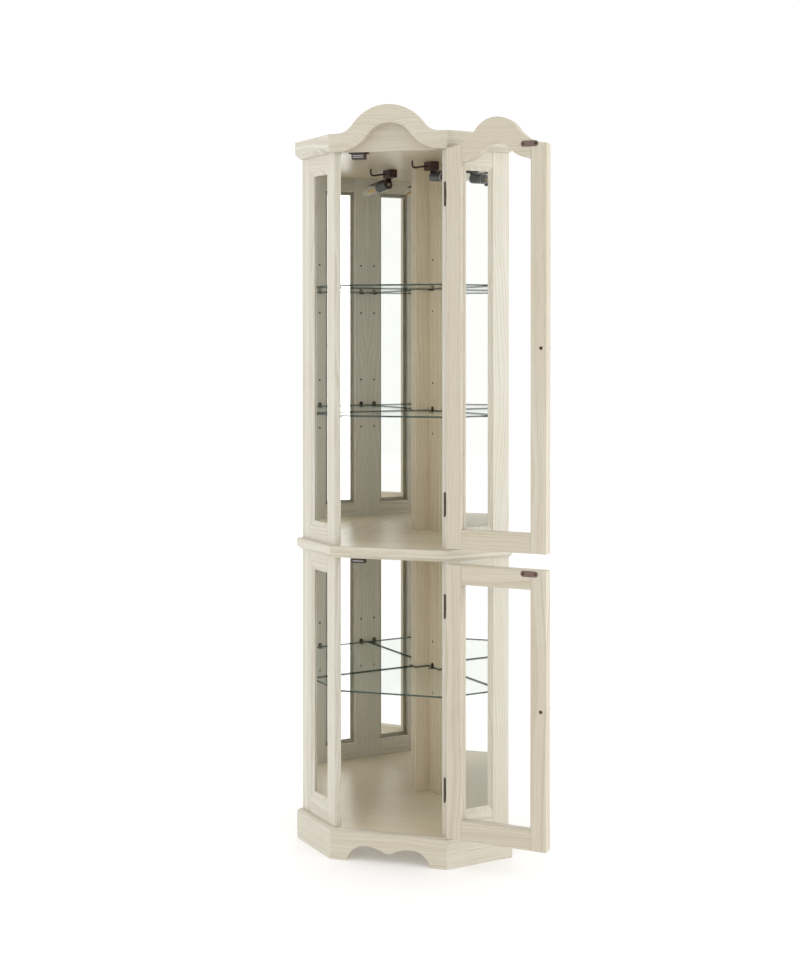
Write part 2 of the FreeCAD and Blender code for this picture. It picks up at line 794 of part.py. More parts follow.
# Knobs and catch plates
knob_x = door_edge + 2 * door_half - cell("knob_inset")
knob_wide = cell("knob_radius")
knob_out = cell("knob_reach")
knob_heights = {
    "upper": upper_low + cell("knob_rise_upper"),
    "lower": lower_low + cell("knob_rise_lower"),
}
for name, z in knob_heights.items():
    knob = new_body(f"{name}_knob", DOOR, knob_x, door_face, z)
    turned = knob.newObject("PartDesign::Revolution", "Turned")
    turned.Profile = outline(knob, "XY_Plane", [
        (0, 0),
        (knob_wide * 0.66, 0),
        (knob_wide * 0.66, knob_out * 0.1),
        (knob_wide * 0.42, knob_out * 0.25),
        (knob_wide * 0.42, knob_out * 0.5),
        (knob_wide, knob_out * 0.8, knob_wide * 1.1, -1),
        (knob_wide * 0.3, knob_out),
        (0, knob_out),
    ])
    turned.ReferenceAxis = (turned.Profile[0], ["V_Axis"])
    turned.Angle = 360
    doc.recompute()

plate_off = door_half - cell("plate_inset")
plate_x = pin_x + plate_off
plate_r = cell("plate_radius")
plate_l = cell("plate_half")
plate_heights = {
    "upper": ceiling - cell("plate_drop_high"),
    "lower": lower_high - cell("plate_drop_low"),
}
for name, z in plate_heights.items():
    plate = new_body(f"{name}_catch_plate", DOOR, plate_x, door_inner, z)
    pad(plate, "XZ_Plane", [
        (-plate_l, -plate_r),
        (plate_l, -plate_r, plate_r * 1.02, -1),
        (plate_l, plate_r),
        (-plate_l, plate_r, plate_r * 1.02, -1),
    ], cell("plate_thick"))

# Hinges: a leaf on the side frame's front edge, a pin, and a cranked leaf on the door's edge
pin = cell("pin_radius")
knuckle = cell("knuckle_radius")
leaf = cell("leaf_thick")
hinge = cell("hinge_tall")
third = hinge / 3
knuckle_gap = 0.3
web = knuckle - 0.6
head_tall = 2.2
leaf_long = cell("door_leaf_wide")
leaf_front = cell("door_leaf_front")
hinge_middles = {
    "upper_door": (upper_low + cell("hinge_foot_upper"), ceiling - cell("hinge_head_upper")),
    "lower_door": (lower_low + cell("hinge_foot_lower"), lower_high - cell("hinge_head_lower")),
}
frame_leaves = []
hinge_pins = []
for door, middles in hinge_middles.items():
    door_leaves = []
    for middle in middles:
        low = middle - hinge / 2
        knuckle_high = low + 2 * third + knuckle_gap
        short = third - knuckle_gap
        hinge_pins.append(fused("HingePin", [
            rod(DOOR, (0, 0, low - 1.5), pin, hinge + 3),
            rod(DOOR, (0, 0, low - knuckle_gap - head_tall), knuckle, head_tall),
            rod(DOOR, (0, 0, low + hinge + knuckle_gap), knuckle, head_tall),
        ]))
        web_size = (leaf, cell("pin_out") - web - leaf / 4, short)
        plates = [
            box(WALLS, (reach, run - cell("leaf_wide"), low), (leaf, cell("leaf_wide"), hinge)),
            rod(DOOR, (0, 0, low), knuckle, short),
            rod(DOOR, (0, 0, knuckle_high), knuckle, short),
            box(FRONT, (pin_x - leaf / 2, web - cell("pin_out"), low), web_size),
            box(FRONT, (pin_x - leaf / 2, web - cell("pin_out"), knuckle_high), web_size),
        ]
        bore = rod(DOOR, (0, 0, low - 1), pin, hinge + 2)
        frame_leaves.append(bored("FrameLeaf", fused("FrameLeafBlank", plates), bore))
        plates = [
            box(DOOR, (door_edge - leaf, leaf_front - leaf_long, low), (leaf, leaf_long, hinge)),
            rod(DOOR, (0, 0, low + third), knuckle, third),
            box(DOOR, (web, -leaf / 2, low + third), (door_edge - leaf - web, leaf, third)),
        ]
        bore = rod(DOOR, (0, 0, low - 1), pin + cell("knuckle_play"), hinge + 2)
        door_leaves.append(bored("DoorLeaf", fused("DoorLeafBlank", plates), bore))
    group(f"{door}_hinge_leaves", door_leaves)
group("frame_hinge_leaves", frame_leaves)
group("hinge_pins", hinge_pins)


# Shelves, each on supports that are pushed into the wood
gap = cell("shelf_gap")
shelf_side = inner - gap
shelf_front = front_line(cell("shelf_setback"), shelf_side)
shelf_edge = frame_back + gap
disc = cell("support_disc")
plate_deep = cell("support_thick")
arm_out = cell("support_out")
arm_wide = cell("support_wide")
arm_thick = cell("arm_thick")
supports = []


def support(p, q, low, along):
    """A shelf support on a wood face: a round plate, and an arm below it that the glass rests on."""
    turned_back = sum(along) < 0
    middle = low + cell("support_rise")
    under = low - arm_thick
    if along[0]:
        near_p = p - plate_deep if turned_back else p
        arm_p = p - arm_out if turned_back else p
        plate = box(WALLS, (near_p, q - arm_wide / 2, under), (plate_deep, arm_wide, middle - under))
        arm = box(WALLS, (arm_p, q - arm_wide / 2, under), (arm_out, arm_wide, arm_thick))
    else:
        near_q = q - plate_deep if turned_back else q
        arm_q = q - arm_out if turned_back else q
        plate = box(WALLS, (p - arm_wide / 2, near_q, under), (arm_wide, plate_deep, middle - under))
        arm = box(WALLS, (p - arm_wide / 2, arm_q, under), (arm_wide, arm_out, arm_thick))
    round_plate = rod(WALLS, (p, q, middle), disc, plate_deep, (*along, 0))
    return fused("Support", [plate, arm, round_plate])


shelf_heights = {
    "lower": base + cell("shelf_low"),
    "middle": cell("mid_top") + cell("shelf_mid"),
    "upper": cell("mid_top") + cell("shelf_high"),
}
for name, low in shelf_heights.items():
    shelf = new_body(f"{name}_shelf", WALLS, 0, 0, low)
    pad(shelf, "XY_Plane", [
        (shelf_edge, post_right + gap),
        (post_in + gap, post_right + gap),
        (post_in + gap, post_in + gap),
        (post_left + gap, post_in + gap),
        (post_left + gap, shelf_edge),
        (shelf_side, shelf_edge),
        (shelf_side, shelf_front),
        (shelf_front, shelf_side),
        (shelf_edge, shelf_side),
    ], cell("shelf_thick"))
    for along in (reach - cell("support_in"), frame_back + cell("support_in")):
        supports.append(support(inner, along, low, (-1, 0)))
        supports.append(support(along, inner, low, (0, -1)))
    supports.append(support(post_in, post_in + cell("support_in_post"), low, (1, 0)))
group("shelf_supports", supports)

# Magnetic catches, under the fascia and under the apron
catches = []
left = -plate_off
catch_wide = cell("catch_wide")
catch_deep = cell("catch_deep")
apron_low = mid_low - cell("apron_drop")
catch_sizes = ((ceiling, cell("catch_tall_upper"), True), (apron_low, cell("catch_tall_lower"), False))
for top, high, flanged in catch_sizes:
    case = box(FRONT, (left - catch_wide / 2, stop_face, top - high), (catch_wide, catch_deep, high))
    if not flanged:
        catches.append(case)
        continue
    flange_wide = cell("flange_wide")
    flange_thick = cell("flange_thick")
    start = (left - flange_wide / 2, stop_face, top - flange_thick)
    catches.append(fused("Catch", [case, box(FRONT, start, (flange_wide, catch_deep, flange_thick))]))
group("magnetic_catches", catches)

# Lamp: a block under the ceiling with an arm, a socket on the arm, a tubular bulb and a short lead
lamp_p = cell("lamp_p")
lamp_q = cell("lamp_q")
lamp_z = ceiling - cell("lamp_drop")
block_q = lamp_q - cell("block_back")
block_p = lamp_p - cell("block_wide") / 2
fall = math.radians(cell("lamp_fall").number)
lamp_way = (0, math.cos(fall), -math.sin(fall))
lamp_up = (0, math.sin(fall), math.cos(fall))
block_tall = cell("block_tall")
block_low = ceiling - block_tall
strip = box(WALLS, (lamp_p - cell("strip_wide") / 2, block_q, block_low),
            (cell("strip_wide"), cell("strip_long"), cell("strip_thick")))
lean(strip, WALLS, (0, 1, 0), lamp_way)
ear = cell("ear_thick")
ear_below = 10
ear_above = cell("lamp_drop") - block_tall + 5
ear_q = lamp_q - ear * lamp_way[1] - ear_below * lamp_up[1]
ear_z = lamp_z - ear * lamp_way[2] - ear_below * lamp_up[2]
holder = box(WALLS, (lamp_p - cell("ear_wide") / 2, ear_q, ear_z),
             (cell("ear_wide"), ear, ear_above + ear_below))
lean(holder, WALLS, (0, 1, 0), lamp_way)
bracket = fused("lamp_bracket", [
    box(WALLS, (block_p, block_q, block_low), (cell("block_wide"), cell("block_long"), block_tall)),
    holder,
    strip,
])
socket = rod(WALLS, (lamp_p, lamp_q, lamp_z), cell("socket_radius"), cell("socket_long"), lamp_way)
socket.Label = "lamp_socket"
socket_reach = cell("socket_long") * lamp_way[1]
socket_fall = cell("socket_long") * lamp_way[2]
bulb = new_body("lamp_bulb", WALLS, lamp_p, lamp_q + socket_reach, lamp_z + socket_fall)
glass = bulb.newObject("PartDesign::Revolution", "Tube")
bulb_wide = cell("bulb_radius")
bulb_long = cell("bulb_long")
glass.Profile = outline(bulb, "XY_Plane", [
    (0, 0),
    (bulb_wide * 0.8, 0),
    (bulb_wide, 6),
    (bulb_wide, bulb_long - bulb_wide, bulb_wide, -1),
    (bulb_wide * 0.2, bulb_long),
    (0, bulb_long),
])
glass.ReferenceAxis = (glass.Profile[0], ["V_Axis"])
glass.Angle = 360
lean(bulb, WALLS, (0, 1, 0), lamp_way)
lead_p = block_p + cell("block_wide") + cell("lead_away")
lead = new_body("lamp_lead", WALLS, lead_p, block_q + 20, ceiling)
bend = cell("lead_bend")
drop = cell("lead_drop")
round_section = lead.newObject("Sketcher::SketchObject", "Section")
round_section.AttachmentSupport = [(origin_plane(lead, "XY_Plane"), "")]
round_section.MapMode = "FlatFace"
ring = Part.Circle(FreeCAD.Vector(0, 0, 0), FreeCAD.Vector(0, 0, 1), cell("lead_radius").number)
round_section.addGeometry(ring, False)
round_section.addConstraint(Sketcher.Constraint("Coincident", 0, 3, -1, 1))
key = round_section.addConstraint(Sketcher.Constraint("Radius", 0, cell("lead_radius").number))
bind(round_section, f"Constraints[{key}]", cell("lead_radius"))
route = lead.newObject("Sketcher::SketchObject", "Route")
route.AttachmentSupport = [(origin_plane(lead, "XZ_Plane"), "")]
route.MapMode = "FlatFace"
stops = [(0, 0), (0, -drop), (-bend, -drop - bend), (-cell("lead_away"), -drop - bend)]
spots = [FreeCAD.Vector(of(x).number, of(z).number, 0) for x, z in stops]
route.addGeometry(Part.LineSegment(spots[0], spots[1]), False)
hub = FreeCAD.Vector(spots[2].x, spots[1].y, 0)
quarter = Part.ArcOfCircle(Part.Circle(hub, FreeCAD.Vector(0, 0, 1), bend.number), math.radians(-90), 0)
route.addGeometry(quarter, False)
route.addGeometry(Part.LineSegment(spots[2], spots[3]), False)
route.addConstraint(Sketcher.Constraint("Coincident", 0, 2, 1, 2))
route.addConstraint(Sketcher.Constraint("Coincident", 1, 1, 2, 1))
for edge, end, (x, z) in ((0, 1, stops[0]), (0, 2, stops[1]), (2, 1, stops[2]), (2, 2, stops[3])):
    for kind, value in (("DistanceX", x), ("DistanceY", z)):
        key = route.addConstraint(Sketcher.Constraint(kind, -1, 1, edge, end, of(value).number))
        bind(route, f"Constraints[{key}]", value)
key = route.addConstraint(Sketcher.Constraint("Radius", 1, bend.number))
bind(route, f"Constraints[{key}]", bend)
pipe = lead.newObject("PartDesign::AdditivePipe", "Lead")
pipe.Profile = round_section
pipe.Spine = route
doc.recompute()

# Every named piece, and the file that each is written to
NODES = [
    "floor_panel", "mid_panel", "top_panel",
    "left_front_stile", "left_back_stile", "left_top_rail", "left_mid_rail", "left_bottom_rail",
    "right_front_stile", "right_back_stile", "right_top_rail", "right_mid_rail", "right_bottom_rail",
    "side_panes", "post_left_board", "post_right_board", "left_mirror", "right_mirror",
    "left_back_board", "right_back_board", "rear_foot",
    "plinth_front", "plinth_left", "plinth_right", "waist_front", "waist_left", "waist_right",
    "crown_front", "crown_left", "crown_right", "fascia_board", "apron_rail",
    "upper_door_hinge_stile", "upper_door_latch_stile", "upper_door_top_rail", "upper_door_bottom_rail",
    "upper_door_pane", "upper_knob", "upper_catch_plate", "upper_door_hinge_leaves",
    "lower_door_hinge_stile", "lower_door_latch_stile", "lower_door_top_rail", "lower_door_bottom_rail",
    "lower_door_pane", "lower_knob", "lower_catch_plate", "lower_door_hinge_leaves",
    "frame_hinge_leaves", "hinge_pins", "lower_shelf", "middle_shelf", "upper_shelf", "shelf_supports",
    "magnetic_catches", "lamp_bracket", "lamp_socket", "lamp_bulb", "lamp_lead",
]

doc.recompute()
for item in doc.Objects:
    if {"Invalid", "Error"} & set(item.State):
        raise RuntimeError(f"{item.Label} did not build: {item.State}")
os.makedirs("parts", exist_ok=True)
for label in NODES:
    solid = doc.getObjectsByLabel(label)[0]
    if solid.Shape.isNull() or not solid.Shape.isValid():
        raise RuntimeError(f"{label} has no valid shape")
    solid.Shape.exportStep(f"parts/{label}.step")
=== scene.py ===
import math
import bpy
from mathutils import Matrix, Vector


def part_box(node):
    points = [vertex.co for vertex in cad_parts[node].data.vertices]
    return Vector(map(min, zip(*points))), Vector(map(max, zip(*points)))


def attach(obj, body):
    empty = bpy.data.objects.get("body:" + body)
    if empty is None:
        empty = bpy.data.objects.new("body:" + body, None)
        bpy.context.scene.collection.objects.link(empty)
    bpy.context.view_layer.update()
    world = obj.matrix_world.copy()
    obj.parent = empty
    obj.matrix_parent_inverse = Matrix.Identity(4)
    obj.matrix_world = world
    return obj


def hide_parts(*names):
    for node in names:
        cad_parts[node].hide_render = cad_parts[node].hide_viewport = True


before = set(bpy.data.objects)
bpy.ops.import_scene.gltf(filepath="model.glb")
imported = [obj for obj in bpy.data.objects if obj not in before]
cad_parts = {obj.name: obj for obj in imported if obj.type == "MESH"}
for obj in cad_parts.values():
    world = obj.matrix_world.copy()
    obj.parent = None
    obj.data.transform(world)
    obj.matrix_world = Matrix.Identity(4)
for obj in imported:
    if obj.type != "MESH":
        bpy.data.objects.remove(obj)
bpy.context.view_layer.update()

scene = bpy.context.scene

# A corner cabinet that stands in the corner of a room, with its two walls running back from the front.
# In plan, left runs along the left wall, right runs along the right wall, and the front faces -Y.
TO_LEFT = Vector((-1, -1, 0)) / math.sqrt(2)
TO_RIGHT = Vector((1, -1, 0)) / math.sqrt(2)
ACROSS = Vector((1, 0, 0))
UP = Vector((0, 0, 1))
DOOR_OPEN = math.radians(-10)
DOOR_ALONG = Vector((math.cos(DOOR_OPEN), math.sin(DOOR_OPEN), 0))
DOOR_OUT = Vector((-math.sin(DOOR_OPEN), math.cos(DOOR_OPEN), 0))


class Shade:
    """A shader socket that takes part in Python arithmetic."""

    def __init__(self, maker, socket):
        self.maker = maker
        self.socket = socket

    def worked(self, how, first, second):
        return self.maker.node("ShaderNodeMath", {"operation": how}, {0: first, 1: second})

    def __add__(self, other):
        return self.worked("ADD", self, other)

    def __radd__(self, other):
        return self.worked("ADD", other, self)

    def __sub__(self, other):
        return self.worked("SUBTRACT", self, other)

    def __rsub__(self, other):
        return self.worked("SUBTRACT", other, self)

    def __mul__(self, other):
        return self.worked("MULTIPLY", self, other)

    def __pow__(self, other):
        return self.worked("POWER", self, other)


class Finish:
    """One material, with the shader that ends it and a single way to add nodes."""

    def __init__(self, name):
        self.material = bpy.data.materials.new(name)
        self.material.use_nodes = True
        self.tree = self.material.node_tree
        self.shader = self.tree.nodes["Principled BSDF"]
        self.place = self.node("ShaderNodeTexCoord", {}, {}, "Object")

    def node(self, kind, settings, inputs, output=0):
        made = self.tree.nodes.new(kind)
        for name, value in settings.items():
            setattr(made, name, value)
        for name, value in inputs.items():
            if isinstance(value, Shade):
                self.tree.links.new(value.socket, made.inputs[name])
            else:
                made.inputs[name].default_value = value
        return Shade(self, made.outputs[output])

    def along(self, direction):
        """Distance along a direction, in metres."""
        return self.node("ShaderNodeVectorMath", {"operation": "DOT_PRODUCT"},
                         {0: self.place, 1: tuple(direction)}, "Value")

    def vector(self, x, y, z):
        return self.node("ShaderNodeCombineXYZ", {}, {0: x, 1: y, 2: z})

    def noise(self, vector, scale, detail=2.0, rough=0.5):
        """Soft random variation that fills space."""
        return self.node("ShaderNodeTexNoise", {},
                         {"Vector": vector, "Scale": scale, "Detail": detail, "Roughness": rough})

    def eased(self, value, low, high, to_low=0.0, to_high=1.0):
        """A value stretched from one range onto another, and held within it."""
        return self.node("ShaderNodeMapRange", {"clamp": True},
                         {0: value, 1: low, 2: high, 3: to_low, 4: to_high})

    def mixed(self, factor, first, second):
        """A colour between two others."""
        return self.node("ShaderNodeMix", {"data_type": "RGBA"}, {0: factor, 6: first, 7: second}, 2)

    def set(self, **values):
        """Inputs of the final shader, with spaces in their names written as underscores."""
        for name, value in values.items():
            socket = self.shader.inputs[name.replace("_", " ")]
            if isinstance(value, Shade):
                self.tree.links.new(value.socket, socket)
            else:
                socket.default_value = value

    def bump(self, height, distance, strength):
        """Small relief, as deep as the distance in metres."""
        self.set(Normal=self.node("ShaderNodeBump", {},
                                  {"Strength": strength, "Distance": distance, "Height": height}))


def paint(node, finish):
    """Give a CAD node its finish."""
    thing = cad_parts[node]
    thing.data.materials.clear()
    thing.data.materials.append(finish.material)


# Wood: solid ash under a thin white wash. Each board keeps its own growth rings, which sway and run into
# long arches on wide flat boards, and short dark pores that the wash leaves open. Boards differ by a seed,
# and some are painted lighter or darker by where they stand, as painted light and painted shade.
ASH_PALE = (0.645, 0.619, 0.538)
ASH_WARM = (0.500, 0.447, 0.345)
ASH_DARK = (0.300, 0.250, 0.175)
RING_SCALE = 260.0
RING_SWAY = 0.085
RING_WANDER = 0.010
PORE_ALONG = 22
PORE_ACROSS = 950
PORE_DEPTH = 0.00012


def ash(name, grain, face, seed, painted_light=(1, 1, 1), ring=0.72, open_pores=0.50, gloss=0.42):
    """Grain runs along the first direction and the board's broad face looks along the second."""
    wood = Finish(name)
    # The painted light factor scales all three colours of the board, to paint it lighter or darker.
    pale, warm, dark = [(*(part * share for part, share in zip(colour, painted_light)), 1)
                        for colour in (ASH_PALE, ASH_WARM, ASH_DARK)]
    u = wood.along(grain)
    v = wood.along(grain.cross(face)) + seed * 0.137
    w = wood.along(face) + seed * 0.071
    sway = wood.noise(wood.vector(u * 1.6, v * 7, w * 7), 1.0, 2.0, 0.45) - 0.5
    wander = wood.noise(wood.vector(u * 5, v * 20, w * 20), 1.0, 2.0, 0.5) - 0.5
    rings = v + w * 0.6 + sway * RING_SWAY + wander * RING_WANDER
    growth = wood.noise(wood.vector(rings, seed * 3.1, 0.0), RING_SCALE, 2.0, 0.55)
    bands = wood.eased(growth, 0.40, 0.66)
    specks = wood.noise(wood.vector(u * PORE_ALONG, v * PORE_ACROSS, w * PORE_ACROSS), 1.0, 1.0, 0.5)
    pores = wood.eased(specks, 0.58, 0.72) * (0.35 + bands * 0.65)
    patches = wood.noise(wood.vector(u * 2.5, v * 9, w * 9), 1.0, 3.0, 0.6)
    cloud = wood.eased(patches, 0.30, 0.72)
    colour = wood.mixed(cloud * 0.45, pale, warm)
    colour = wood.mixed(bands * ring, colour, warm)
    colour = wood.mixed(pores * open_pores, colour, dark)
    wood.set(Base_Color=colour, Roughness=wood.eased(bands, 0.0, 1.0, gloss, gloss + 0.12))
    wood.set(Coat_Weight=0.12, Coat_Roughness=0.32)
    wood.bump(1.0 - pores * 0.8 - bands * 0.2, PORE_DEPTH, 0.55)
    return wood


# Painted light and shade: front mouldings and the inside painted brighter; fascia, doors and ceiling
# darker.
FRONT_PAINTED_LIGHT = (1.02, 1.00, 0.96)
FASCIA_PAINTED_SHADE = (0.95, 0.92, 0.88)
DOOR_PAINTED_SHADE = (0.96, 0.925, 0.87)
INSIDE_PAINTED_LIGHT = (1.16, 1.09, 0.96)
CEILING_PAINTED_SHADE = (0.95, 0.87, 0.73)
BACK = Vector((0, 1, 0))
# The two post boards inside the case are painted lighter, as painted light.
upright = {
    "left_front_stile": ash("ash_upright_0", UP, TO_LEFT, 1.0),
    "left_back_stile": ash("ash_upright_1", UP, TO_LEFT, 3.3),
    "right_front_stile": ash("ash_upright_right_0", UP, TO_RIGHT, 11.0),
    "right_back_stile": ash("ash_upright_right_1", UP, TO_RIGHT, 13.3),
    "post_left_board": ash("ash_upright_post_0", UP, TO_RIGHT, 81.0, INSIDE_PAINTED_LIGHT),
    "post_right_board": ash("ash_upright_post_1", UP, TO_RIGHT, 83.3, INSIDE_PAINTED_LIGHT),
}
bead_ash = {"left": ash("ash_upright_3", UP, TO_LEFT, 7.9), "right": upright["right_back_stile"]}
# The front mouldings are painted a little lighter, as painted light, and the fascia darker, as painted
# shade.
across = {
    "crown_front": ash("ash_level_front_0", ACROSS, BACK, 31.0, FRONT_PAINTED_LIGHT),
    "fascia_board": ash("ash_fascia", ACROSS, BACK, 33.5, FASCIA_PAINTED_SHADE, ring=0.8),
    "waist_front": ash("ash_level_front_2", ACROSS, BACK, 34.8, FRONT_PAINTED_LIGHT),
    "plinth_front": ash("ash_level_front_3", ACROSS, BACK, 36.7, FRONT_PAINTED_LIGHT),
}
across["apron_rail"] = across["waist_front"]
for node, wood in (upright | across).items():
    paint(node, wood)

# Each side has three finishes for its level boards, and each serves a rail and a moulding.
SIDE_PAIRS = (("top_rail", "plinth"), ("mid_rail", "waist"), ("bottom_rail", "crown"))
for side, grain, face, seed in (("left", TO_RIGHT, TO_LEFT, 41.0), ("right", TO_LEFT, TO_RIGHT, 51.0)):
    for n, (rail, moulding) in enumerate(SIDE_PAIRS):
        wood = ash(f"ash_level_{side}_{n}", grain, face, seed + 1.7 * n)
        paint(f"{side}_{rail}", wood)
        paint(f"{moulding}_{side}", wood)

# The grain of every door board follows the door as it stands open.
# Door boards are painted a little darker, as painted shade.
for n, door in enumerate(("upper_door", "lower_door")):
    for end in ("hinge_stile", "latch_stile"):
        m = 2 * n + (end == "latch_stile")
        paint(f"{door}_{end}", ash(f"ash_upright_door_{m}", UP, DOOR_OUT, 21.0 + 1.7 * m, DOOR_PAINTED_SHADE))
    for end in ("top_rail", "bottom_rail"):
        m = 2 * n + (end == "bottom_rail")
        paint(f"{door}_{end}", ash(f"ash_level_door_{m}", DOOR_ALONG, DOOR_OUT, 61.0 + 1.7 * m, DOOR_PAINTED_SHADE))

# Floor, middle and top panels: calmer rings and a smoother face than the boards.
# Painted light and shade: the floor and middle panels are painted lighter, the top panel darker and warmer.
panel_painted_light = {"floor_panel": INSIDE_PAINTED_LIGHT, "mid_panel": INSIDE_PAINTED_LIGHT, "top_panel": CEILING_PAINTED_SHADE}
for n, (panel, painted_light) in enumerate(panel_painted_light.items()):
    paint(panel, ash(f"ash_panel_{n}", ACROSS, UP, 71.0 + 2.9 * n, painted_light, 0.50, 0.32, 0.32))


# Back boards and rear foot: plain brown fibre board that only the wall sees, pressed from fine fibres, and
# a little darker in soft clouds.
FIBRE_DARK = (0.33, 0.22, 0.13, 1)
FIBRE_PALE = (0.46, 0.33, 0.21, 1)
FIBRE_SHADE = (0.28, 0.19, 0.11, 1)
fibre = Finish("fibre_board")
fibre_fleck = fibre.noise(fibre.place, 900.0, 3.0, 0.7)
fibre_cloud = fibre.noise(fibre.place, 14.0, 3.0, 0.6)
fibre_colour = fibre.mixed(fibre.eased(fibre_fleck, 0.35, 0.7), FIBRE_DARK, FIBRE_PALE)
fibre.set(Base_Color=fibre.mixed(fibre.eased(fibre_cloud, 0.3, 0.7) * 0.3, fibre_colour, FIBRE_SHADE),
          Roughness=fibre.eased(fibre_cloud, 0.3, 0.7, 0.62, 0.78))
fibre.bump(fibre_fleck, 0.0002, 0.5)
for node in ("left_back_board", "right_back_board", "rear_foot"):
    paint(node, fibre)


# Mirrors: silvered float glass, faintly green, with a soft haze of wiping marks that stretch up and down
# the sheet.
SILVER_DULL = (0.975, 0.982, 0.962, 1)
SILVER_BRIGHT = (0.985, 0.990, 0.975, 1)
silver = Finish("silvered_glass")
wiping = silver.noise(silver.vector(silver.along(ACROSS) * 3, silver.along(UP), 0.0), 6.0, 3.0, 0.6)
silver.set(Base_Color=silver.mixed(silver.eased(wiping, 0.3, 0.7), SILVER_DULL, SILVER_BRIGHT),
           Metallic=1.0, Roughness=silver.eased(wiping, 0.35, 0.75, 0.0, 0.012))
for node in ("left_mirror", "right_mirror"):
    paint(node, silver)


# Clear glass: panes of the doors and sides, and the shelves. A shelf is clear through its faces, while its
# polished edges gather the green of the whole sheet and look almost black.
def glazing(name, tint, clear, skim, edge=None):
    """Clear faces that whiten a little at a shallow look, and dark edges when an edge colour is given."""
    glass = Finish(name)
    dust = glass.noise(glass.place, 5.0, 3.0, 0.6)
    look = glass.node("ShaderNodeLayerWeight", {}, {"Blend": 0.5}, "Facing")
    alpha = (look ** 4.0) * skim + clear
    if edge:
        facing = glass.node("ShaderNodeNewGeometry", {}, {}, "Normal")
        upward = glass.node("ShaderNodeSeparateXYZ", {}, {0: facing}, 2)
        rim = glass.eased(upward * upward, 0.1, 0.5, 1.0, 0.0)
        alpha = glass.node("ShaderNodeMath", {"operation": "MAXIMUM"}, {0: alpha, 1: rim * 0.94})
        glass.set(Base_Color=glass.mixed(rim, tint, edge))
    else:
        glass.set(Base_Color=glass.mixed(dust, tint, (tint[0] * 0.96, tint[1] * 0.98, tint[2] * 0.96, 1)))
    glass.set(Alpha=alpha, Roughness=glass.eased(dust, 0.3, 0.7, 0.02, 0.05), IOR=1.5)
    return glass


pane_glass = glazing("pane_glass", (0.88, 0.92, 0.88, 1), 0.012, 0.10)
for node in ("side_panes", "upper_door_pane", "lower_door_pane"):
    paint(node, pane_glass)
shelf_glass = glazing("shelf_glass", (0.52, 0.66, 0.54, 1), 0.035, 0.24, (0.022, 0.045, 0.034, 1))
for node in ("upper_shelf", "middle_shelf", "lower_shelf"):
    paint(node, shelf_glass)


# Ironmongery: dark bronze hinges, knobs, catch plates and shelf supports, worn a little bright, and
# bright steel for the lamp's fittings and the bars of the catches.
def metal(name, base, worn, rough, metallic=0.85):
    """Metal that is worn in patches, with a finely uneven polish."""
    ware = Finish(name)
    patch = ware.noise(ware.place, 60.0, 4.0, 0.6)
    fine = ware.noise(ware.place, 700.0, 2.0, 0.6)
    mask = ware.eased(patch, 0.45, 0.75)
    ware.set(Base_Color=ware.mixed(mask * 0.5, base, worn), Metallic=metallic,
             Roughness=ware.eased(fine, 0.3, 0.7, rough, rough + 0.15))
    ware.bump(fine, 0.00005, 0.4)
    return ware


bronze = metal("dark_bronze", (0.055, 0.036, 0.026, 1), (0.16, 0.11, 0.075, 1), 0.34)
plate_bronze = metal("plate_bronze", (0.165, 0.108, 0.088, 1), (0.225, 0.155, 0.125, 1), 0.45, 0.35)
hinge_bronze = metal("hinge_bronze", (0.115, 0.095, 0.080, 1), (0.20, 0.17, 0.145, 1), 0.36)
steel = metal("steel", (0.42, 0.41, 0.39, 1), (0.66, 0.65, 0.62, 1), 0.25)
for node in ("upper_knob", "lower_knob", "shelf_supports"):
    paint(node, bronze)
for node in ("hinge_pins", "frame_hinge_leaves", "upper_door_hinge_leaves", "lower_door_hinge_leaves"):
    paint(node, hinge_bronze)
for node in ("upper_catch_plate", "lower_catch_plate"):
    paint(node, plate_bronze)


# Moulded parts: magnetic catches, lamp block and socket, in dark plastic with a fine spark texture, and the
# cover of the lamp's lead. The bulb is clear glass.
def moulded(name, base, rough):
    """Plastic that lightens a little in soft patches."""
    plastic = Finish(name)
    spark = plastic.noise(plastic.place, 1400.0, 2.0, 0.6)
    cloud = plastic.noise(plastic.place, 40.0, 3.0, 0.5)
    lighter = tuple(min(1.0, c * 1.8 + 0.01) for c in base[:3]) + (1,)
    plastic.set(Base_Color=plastic.mixed(cloud * 0.4, base, lighter),
                Roughness=plastic.eased(cloud, 0.3, 0.7, rough, rough + 0.12))
    plastic.bump(spark, 0.00006, 0.4)
    return plastic


catch_plastic = moulded("catch_plastic", (0.035, 0.022, 0.016, 1), 0.45)
block_plastic = moulded("block_plastic", (0.045, 0.018, 0.014, 1), 0.40)
socket_plastic = moulded("socket_plastic", (0.030, 0.032, 0.036, 1), 0.30)
paint("magnetic_catches", catch_plastic)
paint("lamp_bracket", block_plastic)
paint("lamp_socket", socket_plastic)
bulb_glass = glazing("bulb_glass", (0.93, 0.90, 0.82, 1), 0.10, 0.45)
paint("lamp_bulb", bulb_glass)
lead_cover = moulded("lead_cover", (0.030, 0.018, 0.014, 1), 0.5)


# Places in the cabinet, all read from its own pieces, and the few steps that every new piece goes through:
# shaped from a primitive, joined to its like, and put on its body.
def span(node, direction):
    """Nearest and furthest reach of a CAD piece along a direction, in metres."""
    corners = [vertex.co.dot(direction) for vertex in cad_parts[node].data.vertices]
    return min(corners), max(corners)


def spot(p, q, z):
    """A point p from the right wall and q from the left one, at a height."""
    return TO_LEFT * p + TO_RIGHT * q + UP * z


def worked(piece, name, finish, body):
    """Gives a new piece its name and finish, and puts it on its body."""
    piece.name = name
    piece.data.materials.append(finish.material)
    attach(piece, body)


